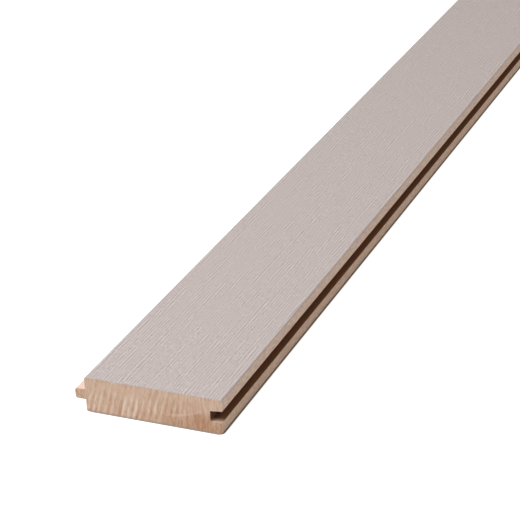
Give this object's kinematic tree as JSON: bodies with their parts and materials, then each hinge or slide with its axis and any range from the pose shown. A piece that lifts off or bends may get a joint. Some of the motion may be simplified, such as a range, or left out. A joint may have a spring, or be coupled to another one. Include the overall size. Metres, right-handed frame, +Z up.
{
  "type": "composite porch board",
  "caption": "Long flat tongue and groove floor board with a tan wood-fibre composite core and a thin grey brushed cap on the walking face.",
  "frame": {"origin": "under the middle of the board: centre of the bounding box, on the plane of the underside", "axes": "+Y along the board's length, +Z up out of the walking face, +X towards the grooved edge (the tongue is on -X)"},
  "size_m": [0.0856, 2.4384, 0.0206],
  "materials": {
    "core": "wood-fibre composite as milled and sawn, matt, tan with pale and brown streaks",
    "cap": "grey polymer cap, brushed along the length, matt"
  },
  "bodies": {
    "root": {"board_core": "core", "walking_cap": "cap"}
  },
  "joints": []
}
